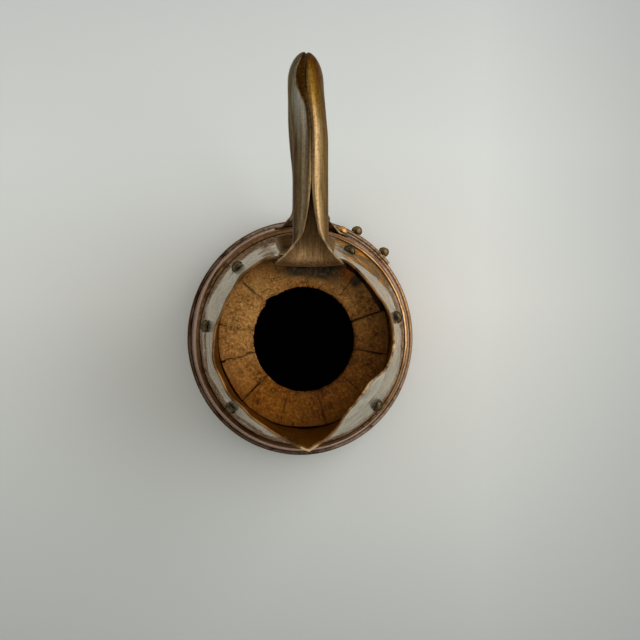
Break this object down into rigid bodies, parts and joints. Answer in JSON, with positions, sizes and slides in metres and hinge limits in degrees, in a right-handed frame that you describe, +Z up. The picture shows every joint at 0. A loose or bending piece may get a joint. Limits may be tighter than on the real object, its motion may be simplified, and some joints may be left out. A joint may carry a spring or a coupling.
{
  "type": "copper pitcher",
  "caption": "Conical pitcher of wooden staves clad in sheet copper, with a pale nailed collar bent to a pouring lip and a rolled sheet handle.",
  "frame": {"origin": "on the vessel's axis, in the flat face that it stands on", "axes": "+Z up out of the mouth, +Y towards the handle, -Y towards the spout"},
  "size_m": [0.1461, 0.217, 0.198],
  "materials": {
    "stave_wood": "worn end grain, oiled and dark",
    "board_wood": "dry, dark",
    "copper_sheet": "worn satin copper sheet",
    "copper_hoop": "worn satin copper, darkened in the corners",
    "tinned_copper": "hand-polished white metal, streaked",
    "bronze_sheet": "polished by use, darkened in the folds",
    "dark_iron": "dark, rubbed"
  },
  "bodies": {
    "root": {"base_plate": "copper_sheet", "bottom_board": "board_wood", "body_shell": "copper_sheet", "collar": "tinned_copper", "waist_hoop": "copper_hoop", "foot_hoop": "copper_hoop", "handle_plate": "bronze_sheet", "handle": "bronze_sheet", "stave_01": "stave_wood", "stave_02": "stave_wood", "stave_03": "stave_wood", "stave_04": "stave_wood", "stave_05": "stave_wood", "stave_06": "stave_wood", "stave_07": "stave_wood", "stave_08": "stave_wood", "stave_09": "stave_wood", "stave_10": "stave_wood", "stave_11": "stave_wood", "stave_12": "stave_wood", "hoop_rivet_01": "dark_iron", "wing_nail_01": "dark_iron", "hoop_rivet_02": "dark_iron", "wing_nail_02": "dark_iron", "hoop_rivet_03": "dark_iron", "wing_nail_03": "dark_iron", "collar_nail_01": "dark_iron", "collar_nail_02": "dark_iron", "collar_nail_03": "dark_iron", "collar_nail_04": "dark_iron", "collar_nail_05": "dark_iron", "collar_nail_06": "dark_iron", "collar_nail_07": "dark_iron", "plate_nail_01": "dark_iron", "plate_nail_02": "dark_iron"}
  },
  "joints": []
}
